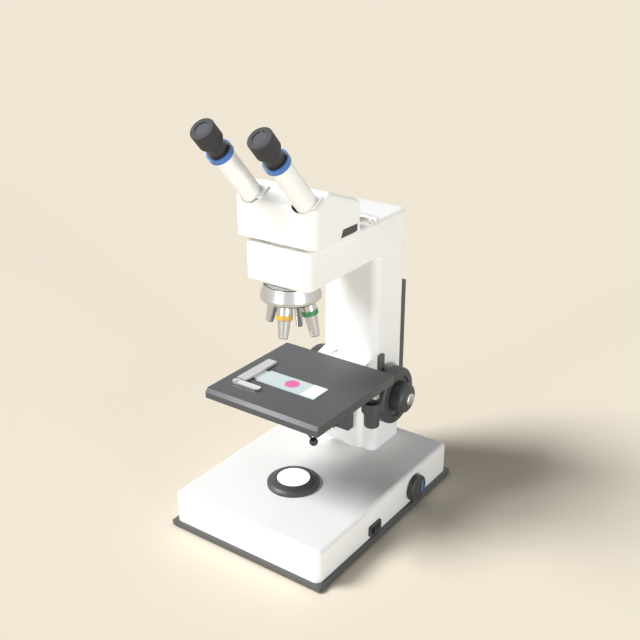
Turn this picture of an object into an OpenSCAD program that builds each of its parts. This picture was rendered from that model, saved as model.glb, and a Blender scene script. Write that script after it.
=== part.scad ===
// Binocular microscope: base with built-in lamp, column and arm, focusing cross stage, condenser,
// four-place nosepiece and a binocular head. Millimetres. X is the user's right, Y points to the
// rear, Z is up. X = Y = 0 is the optical axis and Z = 0 is the bench under the rubber feet.

/* [Base] */
// Width of the dark base plate
base_w = 198; // [170:1:240]
// Reach of the base plate in front of the optical axis
base_front = 90.5; // [80:0.5:120]
// Reach of the base plate behind the optical axis
base_rear = 177.5; // [170:0.5:200]
// Thickness of the base plate
plate_t = 5.5; // [4:0.5:8]
// Corner radius of the base plate
plate_corner = 16; // [10:1:24]
// Step from the plate's edge in to the white housing
housing_inset = 3.5; // [2:0.5:6]
// Height of the housing's flat top above the bench
base_h = 44; // [38:1:56]
// Radius along the housing's top edge
base_round = 6; // [3:0.5:9]
// Wall of the base housing
base_wall = 3; // [2:0.5:4]
// Height of the rubber feet below the plate
foot_h = 2; // [1.5:0.5:4]
// Diameter of a rubber foot
foot_d = 24; // [16:1:30]

/* [Lamp] */
// Outer diameter of the lamp ring
lamp_ring_d = 58; // [50:1:66]
// Height of the lamp ring above the housing
lamp_ring_h = 7.5; // [5:0.5:12]
// Diameter of the white field lens
field_lens_d = 36; // [30:1:42]
// Diameter of the light shaft below the field lens
lamp_bore_d = 28; // [22:1:30]

/* [Controls] */
// Diameter of the brightness knob
dimmer_d = 31; // [24:0.5:32]
// Thickness of the brightness knob
dimmer_t = 7; // [5:0.5:12]
// Distance of the brightness knob's axis behind the optical axis
dimmer_y = 97; // [85:1:120]
// Length of the power switch along the base
switch_l = 22; // [18:0.5:30]
// Height of the power switch
switch_h = 12; // [8:0.5:14]
// Distance of the power switch's middle behind the optical axis
switch_y = 15; // [0:1:40]

/* [Column and arm] */
// Width of the column
col_w = 72; // [60:1:78]
// Distance of the column's front face behind the optical axis
col_front = 105; // [103:1:110]
// Distance of the column's rear face behind the optical axis
col_rear = 165; // [160:1:170]
// Corner radius of the column
col_corner = 10; // [6:1:14]
// Wall of the column
col_wall = 4; // [3:0.5:4]
// Width of the arm
arm_w = 80; // [76:1:86]
// Reach of the arm in front of the optical axis
arm_front = 24; // [22:1:30]
// Height of the arm's underside above the bench
arm_bottom = 282; // [276:1:300]
// Height of the arm's top above the bench
arm_top = 324; // [316:1:340]
// Radius along the arm's edges
arm_round = 5; // [3:0.5:7]
// Half width of the rear cover
rear_cover_half = 29; // [24:1:31]
// Thickness of the rear cover
rear_cover_t = 10.5; // [5:0.5:12]
// Lower end of the rear cover above the bench
rear_cover_low = 98; // [90:1:120]
// Upper end of the rear cover above the bench
rear_cover_high = 234; // [200:1:250]

/* [Focus] */
// Distance of the focus axis behind the optical axis
focus_y = 121; // [119:0.5:125]
// Height of the focus axis above the bench
focus_z = 117; // [110:1:122]
// Travel of the stage from its lowest place
lift_travel = 50; // [40:1:50]
// Diameter of the coarse focus knobs
coarse_d = 61; // [44:1:64]
// Thickness of the coarse focus knobs
coarse_t = 12; // [8:0.5:14]
// Distance of the coarse knob's outer face from the mid plane
coarse_out = 56; // [52:1:62]
// Diameter of the fine focus knobs
fine_d = 31; // [24:1:36]
// Thickness of the fine focus knobs
fine_t = 15; // [9:0.5:16]
// Diameter of the silver cap on the fine focus knob
cap_d = 13; // [9:0.5:16]
// Module of the focus rack and pinion
focus_module = 0.8; // [0.7:0.05:0.9]
// Teeth of the focus pinion
focus_teeth = 20; // [18:1:22]
// Diameter of the fine focus shaft
fine_shaft_d = 5; // [4:0.5:6]
// Outer diameter of the hollow coarse focus shaft
coarse_shaft_d = 10; // [9:0.5:11]

/* [Stage] */
// Width of the stage plate
stage_w = 144; // [130:1:156]
// Shift of the stage plate's middle to the right
stage_shift = 3; // [0:0.5:4]
// Reach of the stage plate in front of the optical axis
stage_front = 59.5; // [54:0.5:70]
// Reach of the stage plate behind the optical axis
stage_rear = 81.5; // [78:0.5:83]
// Height of the stage's top above the bench
stage_z = 164.6; // [160:0.5:168]
// Height of the stage plate's rim
stage_t = 10; // [9:0.5:12]
// Thickness of the stage plate's top sheet
sheet_t = 3.5; // [3:0.5:4]
// Travel of the stage plate to the right of its rest place
x_right = 25; // [10:1:25]
// Travel of the stage plate to the left of its rest place
x_left = 10; // [5:1:10]
// Travel of the stage plate forwards and backwards
y_travel = 10; // [5:1:10]
// Diameter of the upper, front-to-rear drive knob
y_knob_d = 22.8; // [18:0.2:24]
// Diameter of the lower, side-to-side drive knob
x_knob_d = 16.8; // [13:0.2:18]
// Distance of the drive knobs' axis right of the optical axis
drive_x = 62; // [58:0.5:63]
// Distance of the drive knobs' axis behind the optical axis
drive_y = 59; // [54:0.5:64]
// Length of the specimen slide
slide_l = 75; // [74:0.5:76]
// Width of the specimen slide
slide_w = 26; // [25:0.5:26.5]
// Thickness of the specimen slide
slide_t = 1.1; // [1:0.1:1.3]

/* [Condenser] */
// Diameter of the condenser
condenser_d = 42; // [38:1:42]
// Travel of the condenser down from its highest place
condenser_travel = 12; // [6:1:14]
// Reach of the aperture lever's ball from the optical axis
lever_reach = 62.5; // [56:0.5:66]
// Diameter of the aperture lever's ball
ball_d = 9; // [7:0.5:10]

/* [Nosepiece] */
// Distance from the nosepiece axis to each objective axis at the turret's underside
nose_reach = 17; // [16.5:0.5:19]
// Lean of each objective outwards from the nosepiece axis
objective_splay = 13; // [8:1:14]
// Turn of the nosepiece at rest
nose_turn = 18; // [0:1:45]
// Diameter of the turret's rim
turret_d = 62; // [58:1:68]
// Height of the conical turret
turret_h = 17; // [15:0.5:18]
// Thickness of the nosepiece's seat under the arm
seat_t = 1.6; // [1.2:0.2:2.4]
// Length of the objective with the yellow band
yellow_l = 35; // [30:0.5:38]
// Length of the objective with the green band
green_l = 39; // [32:0.5:40]
// Length of the slim objective at the rear
slim_l = 42; // [34:0.5:43]
// Length of the short objective on the left
short_l = 28.5; // [22:0.5:34]

/* [Head] */
// Width of the head
head_w = 97; // [88:1:104]
// Reach of the head in front of the optical axis
head_front = 26; // [24:0.5:30]
// Reach of the head behind the optical axis
head_rear = 56; // [52:0.5:60]
// Height of the gap between the arm and the head
head_gap = 4.5; // [3:0.5:6]
// Radius along the head's front upper edge
head_round = 5; // [4.5:0.5:6]
// Radius along the sides of the head's top
head_side_round = 4; // [2.5:0.5:4]
// Distance between the two tubes' axes
pupil_gap = 65.5; // [60:0.5:70]
// Travel of each tube inwards from its rest place
pupil_travel = 3.5; // [2:0.5:4]
// Slope of the tubes above the horizontal
tube_slope = 48; // [40:0.5:55]
// Outer diameter of a tube
tube_d = 22; // [20:0.5:24]
// Length of a tube from the head's face to the blue ring
tube_l = 60; // [50:1:70]
// Diameter of the blue diopter ring
ring_d = 25.5; // [24:0.5:30]
// Height of the blue diopter ring
ring_h = 6.5; // [5:0.5:9]
// Diameter of the eyepiece's neck
neck_d = 19.5; // [18:0.5:21]
// Length of the neck between ring and eyecup
neck_l = 9; // [6:0.5:12]
// Diameter of the eyecup
cup_d = 24.5; // [22:0.5:30]
// Length of the eyecup
cup_l = 22; // [16:0.5:26]

/* [Fits] */
// Gap between sliding flat faces
slide_gap = 0.3; // [0.2:0.05:0.4]
// Radial gap of a shaft in its bearing
shaft_gap = 0.05; // [0.03:0.01:0.08]
// Gap between a moving piece and what it passes
pass_gap = 0.6; // [0.4:0.1:1]

/* [Hidden] */
$fn = 48;

charcoal = [0.35, 0.36, 0.37];
white = [0.93, 0.93, 0.91];
silver = [0.72, 0.73, 0.74];
steel = [0.6, 0.62, 0.64];
black = [0.16, 0.16, 0.17];
glassy = [0.75, 0.86, 0.88];
blue = [0.27, 0.46, 0.73];
yellow = [0.85, 0.65, 0.2];
green = [0.24, 0.57, 0.33];
board = [0.1, 0.4, 0.25];

// Base
plate_top = foot_h + plate_t;
housing_w = base_w - 2 * housing_inset;
housing_front = -base_front + housing_inset;
housing_rear = base_rear - housing_inset;
housing_l = housing_rear - housing_front;
housing_y = (housing_rear + housing_front) / 2;
housing_x = housing_w / 2;
housing_corner = plate_corner - 2;
cavity_top = base_h - base_wall;
foot_spots = [for (x = [-1, 1], y = [-base_front + 36, base_rear - 38]) [x * (base_w / 2 - 34), y]];
plate_screw_spots = [for (x = [-1, 1], y = [housing_front + 11, 42, housing_rear - 11])
  [x * (housing_x - 11), y]];
plate_screw_d = 3.6;
plate_head_d = 7.4;
plate_boss_d = 9;
light_r = lamp_bore_d / 2;
heat_sink_d = 34;
board_x = 28;
board_y = 72;
dimmer_z = plate_top + dimmer_d / 2 + pass_gap;
dimmer_shaft_r = 3;
mark_y = dimmer_d * 0.16;
mark_l = dimmer_d * 0.42;
bush_r = 4.5;
switch_z = plate_top + 3 + switch_h / 2;
switch_out = housing_x + 4.6;
rocker_r = switch_l * 0.42;
jack_x = 58;
jack_z = plate_top + 12;

// Column and arm
col_x = col_w / 2;
col_mid = (col_front + col_rear) / 2;
col_foot = 10;
slot_half = 7;
boss_r = 9;
boss_out = col_x + 4.6;
m5_r = 2.5;
m5_head_r = 4.25;
m3_r = 1.5;
m3_head_r = 2.75;
col_bolts = [for (x = [-24, 24], y = [col_mid - 17, col_mid + 17]) [x, y]];
arm_bolts = [for (x = [-22, 22], y = [col_mid - 17, col_mid + 17]) [x, y]];
block_bolt_x = col_x - col_corner - m5_head_r - 0.25;
block_bolts = [for (x = [-block_bolt_x, block_bolt_x], z = [focus_z - 38, focus_z + 26]) [x, z]];
arm_rear = col_rear + 1;
arm_bore_r = 17;
arm_pocket_front = 32;
arm_pocket_rear = 98;
arm_pocket_half = 33;
arm_cover_t = 3;
cover_screws = [for (x = [-1, 1], y = [arm_pocket_front + 3.2, arm_pocket_rear - 3.2])
  [x * (arm_pocket_half - 3.2), y]];
rear_window = 21;
rear_screws = [for (x = [-1, 1], z = [rear_cover_low + 10, rear_cover_high - 16])
  [x * (rear_window + 4), z]];

// Focus
focus_pitch = focus_module * focus_teeth / 2;
rack_line = focus_y - focus_pitch;
rack_back = col_front + col_wall + slide_gap;
rack_low = focus_z - lift_travel - 4;
block_x = 32;
block_front = col_front - 21;
block_low = base_h + 14;
block_top = stage_z - sheet_t + 1.9;
channel_x = 16;
channel_front = col_front - 13;
neck_x = 10;
slide_low = 66;
slide_high = 159.4;
coarse_in = coarse_out - coarse_t;
fine_in = coarse_out - 1;
fine_out = fine_in + fine_t + 1.6;
cap_out = fine_out + 3.6;
lever_in = col_x + 0.6;
lever_t = 2.6;

// Stage
rim_low = stage_z - stage_t;
sheet_low = stage_z - sheet_t;
stage_x0 = stage_shift - stage_w / 2;
stage_x1 = stage_shift + stage_w / 2;
stage_l = stage_rear + stage_front;
stage_y = (stage_rear - stage_front) / 2;
rim_wall = 3;
table_top = sheet_low - slide_gap;
drive_module = 0.65;
drive_teeth = 20;
drive_pitch = drive_module * drive_teeth / 2;
carrier_top = rim_low - 10.4;
carrier_low = carrier_top - 7.7;
table_low = carrier_top + slide_gap;
lug_top = table_low + 4.8;
x_pinion_low = lug_top + slide_gap;
x_pinion_high = rim_low - 0.4;
y_pinion_high = carrier_top;
y_pinion_low = y_pinion_high - 4.4;
y_knob_top = y_pinion_low - 0.4;
y_knob_low = y_knob_top - 12.8;
x_knob_top = y_knob_low - 1;
x_knob_low = x_knob_top - 16.6;
x_line = drive_y - drive_pitch;
y_line = drive_x - drive_pitch;
drive_shaft_r = 2.5;
drive_tube_r = 4;
table_x0 = stage_x0 + rim_wall + x_right + 1;
table_x1 = 46;
table_y0 = -stage_front + 7.5;
table_y1 = block_front - y_travel - 1;
leg_x = 38;
carrier_x = drive_x - 12;
carrier_y0 = -30;
carrier_y1 = block_front - 0.5;
bracket_y0 = block_front - 10.3;
bracket_y1 = block_front - slide_gap;
bracket_x = 22;
bracket_low = 82;

// Condenser
cond_r = condenser_d / 2;
neck_r = 15;
cond_top = sheet_low - 0.8;
holder_top = carrier_low - slide_gap;
holder_low = holder_top - 3.2;
iris_top = holder_low - 0.4;
iris_low = iris_top - 3.6;
cond_low = iris_low - 2.5;
spindle_r = cond_r - 4;
cond_module = 0.5;
cond_teeth = 20;
cond_pitch = cond_module * cond_teeth / 2;
cond_line = bracket_y0 - 10.2;
cond_axis_y = cond_line - cond_pitch;
cond_axis_z = holder_top - 30;
lever_angle = -33.2;

// Nosepiece
turret_r = turret_d / 2;
turret_top_r = turret_r - 3.5;
turret_gap = 0.4;
turret_z = arm_bottom - seat_t - turret_gap - turret_h;
seat_r = 26;
nose_bore = 4.4;
bush_out = 7;
keeper_r = 8.5;
keeper_top = 4;
mount_r = 6.5;
mount_h = 4.5;
flange_z = -2.2;

// Head
head_x = head_w / 2;
head_low = arm_top + head_gap;
head_wall = 3.5;
face_y = -head_front + 8;
ridge_y = -head_front + 24;
face_low = head_low + 38;
ridge_z = face_low + 14;
head_tail = head_rear - 9;
tail_z = ridge_z - (head_tail - ridge_y) * tan(20);
face_slope = atan(14 / 24);
face_z = face_low + (face_y + head_front) * tan(face_slope);
pupil_x = pupil_gap / 2;
tube_r = tube_d / 2;
tube_bore = 8.5;
lean = 90 - tube_slope;
clamp_y = head_rear + 9;
clamp_z = head_low + 9.3;
screw_r = 5;

module rr(w, l, r) {
  square([w - 2 * r, l], center = true);
  square([w, l - 2 * r], center = true);
  for (x = [-1, 1], y = [-1, 1])
    translate([x * (w / 2 - r), y * (l / 2 - r)]) circle(r);
}

module dome(w, h, r) {
  translate([-w / 2, 0]) square([w, h - r]);
  translate([-w / 2 + r, 0]) square([w - 2 * r, h]);
  for (x = [-1, 1]) translate([x * (w / 2 - r), h - r]) circle(r);
}

function unit(v) = v / norm(v);

module rounded_poly(pts, radii) {
  n = len(pts);
  difference() {
    polygon(pts);
    for (i = [0:n - 1]) if (radii[i] > 0) {
      p = pts[i];
      a = unit(pts[(i + n - 1) % n] - p);
      b = unit(pts[(i + 1) % n] - p);
      half = acos(a * b) / 2;
      mid = unit(a + b);
      c = p + mid * radii[i] / sin(half);
      d = radii[i] / tan(half);
      difference() {
        polygon([p + a * d, p - mid, p + b * d, c]);
        translate(c) circle(radii[i]);
      }
    }
  }
}

module along_x(x0, x1) {
  translate([x0, 0, 0]) rotate([90, 0, 90]) linear_extrude(x1 - x0) children();
}

module along_y(y0, y1) {
  translate([0, y1, 0]) rotate([90, 0, 0]) linear_extrude(y1 - y0) children();
}

module along_z(z0, z1) {
  translate([0, 0, z0]) linear_extrude(z1 - z0) children();
}

module rod_x(x0, x1, r) {
  translate([x0, 0, 0]) rotate([0, 90, 0]) cylinder(h = x1 - x0, r = r);
}

module rod_y(y0, y1, r) {
  translate([0, y0, 0]) rotate([-90, 0, 0]) cylinder(h = y1 - y0, r = r);
}

module rod_z(z0, z1, r) {
  translate([0, 0, z0]) cylinder(h = z1 - z0, r = r);
}

module block(x0, x1, y0, y1, z0, z1) {
  translate([x0, y0, z0]) cube([x1 - x0, y1 - y0, z1 - z0]);
}

function inv(a) = tan(a) * 180 / PI - a;
function flank(m, n, r) =
  let (rp = m * n / 2, rb = rp * cos(20))
  90 / n * 0.93 + inv(20) - inv(r > rb ? acos(rb / r) : 0);

module gear(m, n) {
  rp = m * n / 2;
  rb = rp * cos(20);
  radii = [rp - 1.25 * m, rb, (rb + rp) / 2, rp, rp + m * 0.5, rp + m * 0.9];
  polygon([for (t = [0:n - 1]) let (mid = 360 * t / n)
    each concat(
      [for (r = radii) r * [cos(mid - flank(m, n, r)), sin(mid - flank(m, n, r))]],
      [for (i = [len(radii) - 1:-1:0]) let (r = radii[i], a = mid + flank(m, n, r))
        r * [cos(a), sin(a)]]
    )]);
}

// Rack outline: teeth point to +v, u runs along the rack, a tooth space is centred on u = 0.
module rack_outline(m, u0, u1, back) {
  pitch = PI * m;
  half = pitch / 4 * 0.94;
  first = ceil(u0 / pitch);
  last = floor(u1 / pitch) - 1;
  translate([u0, -back]) square([u1 - u0, back - 1.25 * m]);
  for (i = [first:last])
    translate([(i + 0.5) * pitch, 0])
      polygon([
        [-half - 1.25 * m * tan(20), -1.25 * m - 0.01],
        [-half + 0.9 * m * tan(20), 0.9 * m],
        [half - 0.9 * m * tan(20), 0.9 * m],
        [half + 1.25 * m * tan(20), -1.25 * m - 0.01]
      ]);
}

// Solid of revolution about Z from an outline of [radius, height] points with rounded corners.
module turned(pts, radii) {
  rotate_extrude() rounded_poly(pts, radii);
}

module along_x_axis(x0) {
  translate([x0, 0, 0]) rotate([0, 90, 0]) children();
}

module base_plate() color(charcoal) difference() {
  translate([0, (base_rear - base_front) / 2, 0])
    along_z(foot_h, plate_top) rr(base_w, base_front + base_rear, plate_corner);
  for (p = plate_screw_spots) translate(p) {
    rod_z(foot_h - 1, plate_top + 1, plate_screw_d / 2);
    rod_z(foot_h - 1, foot_h + 2.6, plate_head_d / 2);
  }
}

module rubber_feet() color(black)
  for (p = foot_spots) translate(p) rod_z(0, foot_h, foot_d / 2);

module plate_screws() color(steel)
  for (p = plate_screw_spots) translate(p) difference() {
    union() {
      rod_z(foot_h + 2.6, plate_top + 12, plate_screw_d / 2);
      rod_z(foot_h + 0.4, foot_h + 2.6, plate_head_d / 2);
    }
    rod_z(foot_h, foot_h + 1.6, 1.2);
  }

module base_housing() color(white) difference() {
  union() {
    difference() {
      intersection() {
        translate([0, housing_y, 0])
          along_z(plate_top, base_h) rr(housing_w, housing_l, housing_corner);
        along_y(housing_front, housing_rear) translate([0, plate_top])
          dome(housing_w, base_h - plate_top, base_round);
        along_x(-housing_x, housing_x) translate([housing_y, plate_top])
          dome(housing_l, base_h - plate_top, base_round);
      }
      translate([0, housing_y, 0]) along_z(plate_top - 1, cavity_top)
        rr(housing_w - 2 * base_wall, housing_l - 2 * base_wall, housing_corner - base_wall);
    }
    for (p = plate_screw_spots) translate(p) rod_z(plate_top, cavity_top, plate_boss_d / 2);
  }
  for (p = plate_screw_spots) translate(p) rod_z(plate_top - 1, plate_top + 12, plate_screw_d / 2);
  rod_z(cavity_top - 1, base_h + 1, light_r);
  translate([0, col_mid, 0]) rod_z(cavity_top - 1, base_h + 1, 10);
  for (p = col_bolts) translate(p) rod_z(cavity_top - 1, base_h + 1, m5_r);
  translate([0, dimmer_y, dimmer_z]) rod_x(housing_x - 5, housing_x + 5, bush_r);
  block(housing_x - 5, housing_x + 5, switch_y - switch_l / 2 + 1.5, switch_y + switch_l / 2 - 1.5,
    switch_z - switch_h / 2 + 1.5, switch_z + switch_h / 2 - 1.5);
  translate([jack_x, 0, jack_z]) rod_y(housing_rear - 5, housing_rear + 5, 5);
}

module lamp_ring() color(charcoal) rotate_extrude() polygon([
  [light_r, base_h],
  [lamp_ring_d / 2, base_h],
  [lamp_ring_d / 2, base_h + lamp_ring_h * 0.45],
  [lamp_ring_d / 2 - 3, base_h + lamp_ring_h * 0.75],
  [field_lens_d / 2 + 2.5, base_h + lamp_ring_h],
  [field_lens_d / 2, base_h + lamp_ring_h],
  [field_lens_d / 2, base_h + lamp_ring_h - 4.5],
  [light_r, base_h + lamp_ring_h - 4.5]
]);

module field_lens() color([0.97, 0.97, 0.95])
  rod_z(base_h + lamp_ring_h - 4.5, base_h + lamp_ring_h + 0.2, field_lens_d / 2);

module collector_lens() color(glassy) rod_z(plate_top + 22, plate_top + 27, light_r - 3);

module lamp_module() {
  color(steel) difference() {
    rod_z(plate_top, plate_top + 15, heat_sink_d / 2);
    for (x = [-12:4:12]) block(x - 1, x + 1, -30, 30, plate_top + 3, plate_top + 12);
  }
  color(board) rod_z(plate_top + 15, plate_top + 16.6, heat_sink_d / 2 - 2);
  color(yellow) rod_z(plate_top + 16.6, plate_top + 18, 4);
  color(black) difference() {
    rod_z(plate_top + 16.6, plate_top + 27, light_r - 1);
    rod_z(plate_top + 16, plate_top + 22, light_r - 5);
    rod_z(plate_top + 21.9, plate_top + 28, light_r - 3);
  }
}

module driver_board() {
  color(board) block(board_x, board_x + 34, board_y, board_y + 50, plate_top + 5, plate_top + 6.6);
  color(steel) for (x = [board_x + 4, board_x + 30], y = [board_y + 4, board_y + 46])
    translate([x, y]) rod_z(plate_top, plate_top + 5, 2.5);
  color(black) {
    block(board_x + 8, board_x + 22, board_y + 8, board_y + 20, plate_top + 6.6, plate_top + 15);
    translate([board_x + 14, board_y + 34]) rod_z(plate_top + 6.6, plate_top + 20, 6);
  }
  color(steel) translate([0, dimmer_y, dimmer_z]) difference() {
    union() {
      rod_x(housing_x - base_wall - 10, housing_x - base_wall, 8);
      rod_x(housing_x - base_wall - 1, housing_x - 0.2, bush_r);
    }
    rod_x(housing_x - base_wall - 8, housing_x + 1, dimmer_shaft_r + shaft_gap);
  }
}

module dimmer_knob() {
  x0 = housing_x + 0.8;
  translate([0, dimmer_y, dimmer_z]) {
    color(charcoal) difference() {
      union() {
        along_x_axis(x0) turned([
          [0, 0], [dimmer_d / 2, 0], [dimmer_d / 2, dimmer_t], [0, dimmer_t]
        ], [0, 0.6, 2.2, 0]);
        rod_x(housing_x - base_wall - 7.5, x0 + 1, dimmer_shaft_r);
      }
      block(x0 + dimmer_t - 0.7, x0 + dimmer_t + 1, mark_y, mark_y + 4, -mark_l / 2, mark_l / 2);
    }
    color(blue) block(x0 + dimmer_t - 0.7, x0 + dimmer_t + 0.2, mark_y, mark_y + 4,
      -mark_l / 2, mark_l / 2);
  }
}

module switch_body() color(charcoal) difference() {
  union() {
    along_x(housing_x, housing_x + 2.4) translate([switch_y, switch_z])
      rr(switch_l, switch_h, 2);
    block(housing_x - 14, housing_x + 0.5, switch_y - switch_l / 2 + 1.5,
      switch_y + switch_l / 2 - 1.5, switch_z - switch_h / 2 + 1.5, switch_z + switch_h / 2 - 1.5);
  }
  block(housing_x - 12, housing_x + 5, switch_y - switch_l / 2 + 3, switch_y + switch_l / 2 - 3,
    switch_z - switch_h / 2 + 2.8, switch_z + switch_h / 2 - 2.8);
  translate([housing_x - 4, switch_y, 0]) rod_z(switch_z - switch_h / 2 + 2, switch_z + switch_h / 2 - 2, 1.2);
}

module switch_rocker() color(black) difference() {
  union() {
    translate([housing_x - 4, switch_y, 0]) rod_z(switch_z - switch_h / 2 + 2.2,
      switch_z + switch_h / 2 - 2.2, 1.15);
    along_z(switch_z - switch_h / 2 + 3.1, switch_z + switch_h / 2 - 3.1)
      translate([housing_x - 4, switch_y]) polygon([
        [-2.5, -2.5], [-2.5, 2.5], [4.6, switch_l / 2 - 3.9], [7.6, switch_l / 2 - 4.4],
        [6.0, 0], [8.8, -switch_l / 2 + 5.0], [4.6, -switch_l / 2 + 3.9]
      ]);
  }
}

module power_jack() {
  color(black) translate([jack_x, 0, jack_z]) difference() {
    union() {
      rod_y(housing_rear - 12, housing_rear, 5);
      rod_y(housing_rear, housing_rear + 1.2, 6.5);
      rod_y(housing_rear - 6, housing_rear - base_wall, 7);
    }
    rod_y(housing_rear - 9, housing_rear + 2, 2.8);
  }
  color(steel) translate([jack_x, 0, jack_z]) rod_y(housing_rear - 9, housing_rear, 1);
}

module column() color(white) difference() {
  union() {
    translate([0, col_mid, 0]) along_z(base_h, arm_bottom)
      rr(col_w, col_rear - col_front, col_corner);
    translate([0, focus_y, focus_z]) rod_x(-boss_out, boss_out, boss_r);
  }
  translate([0, col_mid, 0]) along_z(base_h + col_foot, arm_bottom - col_foot)
    rr(col_w - 2 * col_wall, col_rear - col_front - 2 * col_wall, col_corner - col_wall);
  translate([0, col_mid, 0]) rod_z(base_h - 1, base_h + col_foot + 1, 10);
  translate([0, col_mid, 0]) rod_z(arm_bottom - col_foot - 1, arm_bottom + 1, 8);
  for (p = col_bolts) translate(p) rod_z(base_h - 1, base_h + col_foot - 1, m5_r);
  for (p = arm_bolts) translate(p) rod_z(arm_bottom - col_foot - 1, arm_bottom + 1, m5_r);
  for (p = block_bolts) translate([p[0], 0, p[1]]) rod_y(col_front - 1, col_front + col_wall + 1, m5_r);
  translate([0, focus_y, focus_z]) rod_x(-boss_out - 1, boss_out + 1, coarse_shaft_d / 2 + shaft_gap);
  block(-slot_half, slot_half, col_front - 1, col_front + col_wall + 1, rack_low - 3,
    rack_low + lift_travel + 20);
  block(-rear_window, rear_window, col_rear - col_wall - 1, col_rear + 1, rear_cover_low + 8,
    rear_cover_high - 14);
  for (p = rear_screws) translate([p[0], 0, p[1]]) rod_y(col_rear - 8, col_rear + 1, m3_r);
}

module arm() color(white) difference() {
  len = arm_rear + arm_front;
  mid = (arm_rear - arm_front) / 2;
  tall = arm_top - arm_bottom;
  intersection() {
    translate([0, mid, 0]) along_z(arm_bottom, arm_top) rr(arm_w, len, col_corner);
    along_y(-arm_front, arm_rear) translate([0, arm_bottom + tall / 2]) rr(arm_w, tall, arm_round);
    along_x(-arm_w / 2, arm_w / 2) translate([mid, arm_bottom + tall / 2]) rr(len, tall, arm_round);
  }
  rod_z(arm_bottom - 1, arm_top + 1, arm_bore_r);
  block(-arm_pocket_half, arm_pocket_half, arm_pocket_front, arm_pocket_rear,
    arm_bottom - 1, arm_bottom + arm_cover_t + 0.4);
  block(-arm_pocket_half + 6.5, arm_pocket_half - 6.5, arm_pocket_front + 6.5,
    arm_pocket_rear - 6.5, arm_bottom, arm_top - 6);
  for (p = arm_bolts) translate(p) rod_z(arm_bottom - 1, arm_bottom + 14, m5_r);
  for (p = cover_screws) translate(p) rod_z(arm_bottom - 1, arm_bottom + 12, m3_r);
}

module arm_cover() color(white) difference() {
  block(-arm_pocket_half + 0.3, arm_pocket_half - 0.3, arm_pocket_front + 0.3,
    arm_pocket_rear - 0.3, arm_bottom + 0.4, arm_bottom + arm_cover_t + 0.4);
  for (p = cover_screws) translate(p) rod_z(arm_bottom - 1, arm_bottom + 12, m3_r);
}

module focus_block() color(white) difference() {
  intersection() {
    along_x(-block_x, block_x) rounded_poly([
      [col_front, block_low], [col_front, block_top], [channel_front, block_top - 3.2],
      [block_front, block_top - 6], [block_front, block_low]
    ], [0, 0, 5, 4, 0]);
    translate([0, (block_front + col_front) / 2 + 5, 0]) along_z(block_low, block_top)
      rr(2 * block_x, col_front - block_front + 10, 6);
  }
  block(-channel_x, channel_x, channel_front, col_front + 1, block_low - 1, block_top + 1);
  block(-neck_x, neck_x, block_front - 1, channel_front + 1, block_low - 1, block_top + 1);
  for (p = block_bolts) translate([p[0], 0, p[1]]) rod_y(col_front - 11, col_front + 1, m5_r);
}

module rear_cover() color(charcoal) difference() {
  intersection() {
    along_x(-rear_cover_half, rear_cover_half) rounded_poly([
      [col_rear, rear_cover_low], [col_rear, rear_cover_high],
      [col_rear + rear_cover_t, rear_cover_high], [col_rear + rear_cover_t, rear_cover_low]
    ], [0, 0, 7, 7]);
    translate([0, col_rear + rear_cover_t / 2 - 10, 0])
      along_z(rear_cover_low, rear_cover_high) rr(2 * rear_cover_half, rear_cover_t + 20, 5);
  }
  block(-rear_window, rear_window, col_rear - 1, col_rear + rear_cover_t - 3, rear_cover_low + 5,
    rear_cover_high - 8);
  for (p = rear_screws) translate([p[0], 0, p[1]]) {
    rod_y(col_rear - 1, col_rear + rear_cover_t + 1, m3_r);
    rod_y(col_rear + rear_cover_t - 3, col_rear + rear_cover_t + 1, m3_head_r);
  }
}

module m5_bolts() color(steel) {
  for (p = col_bolts) translate(p) {
    rod_z(cavity_top, base_h + col_foot - 1, m5_r);
    rod_z(cavity_top - 5, cavity_top, m5_head_r);
  }
  for (p = arm_bolts) translate(p) {
    rod_z(arm_bottom - col_foot, arm_bottom + 14, m5_r);
    rod_z(arm_bottom - col_foot - 5, arm_bottom - col_foot, m5_head_r);
  }
  for (p = block_bolts) translate([p[0], 0, p[1]]) {
    rod_y(col_front - 11, col_front + col_wall, m5_r);
    rod_y(col_front + col_wall, col_front + col_wall + 5, m5_head_r);
  }
}

module m3_screws() color(steel) {
  for (p = cover_screws) translate(p) {
    rod_z(arm_bottom + 0.4, arm_bottom + 12, m3_r);
    rod_z(arm_bottom - 1.6, arm_bottom + 0.4, m3_head_r);
  }
  for (p = rear_screws) translate([p[0], 0, p[1]]) {
    rod_y(col_rear - 8, col_rear + rear_cover_t - 3, m3_r);
    rod_y(col_rear + rear_cover_t - 3, col_rear + rear_cover_t - 1, m3_head_r);
  }
}

module coarse_shaft() color(steel) translate([0, focus_y, focus_z]) difference() {
  union() {
    rod_x(-coarse_out + 4, coarse_out - 4, coarse_shaft_d / 2);
    along_x(-slot_half + 1, slot_half - 1) rotate(180) gear(focus_module, focus_teeth);
  }
  rod_x(-coarse_out, coarse_out, fine_shaft_d / 2 + shaft_gap);
}

module coarse_knob(side) translate([0, focus_y, focus_z]) mirror([side < 0 ? 1 : 0, 0, 0])
  difference() {
    union() {
      along_x_axis(coarse_in) turned([
        [0, 0], [coarse_d / 2, 0], [coarse_d / 2, coarse_t], [coarse_d / 2 - 7, coarse_t],
        [coarse_d / 2 - 9, coarse_t - 1.6], [0, coarse_t - 1.6]
      ], [0, 2, 3.2, 2, 0, 0]);
      rod_x(boss_out + 0.4, coarse_in + 1, coarse_shaft_d / 2 + 4);
    }
    rod_x(boss_out, coarse_out - 4, coarse_shaft_d / 2);
    rod_x(coarse_out - 4.1, coarse_out + 1, fine_shaft_d / 2 + 0.5);
  }

module coarse_knobs() color(charcoal) for (s = [-1, 1]) coarse_knob(s);

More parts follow.
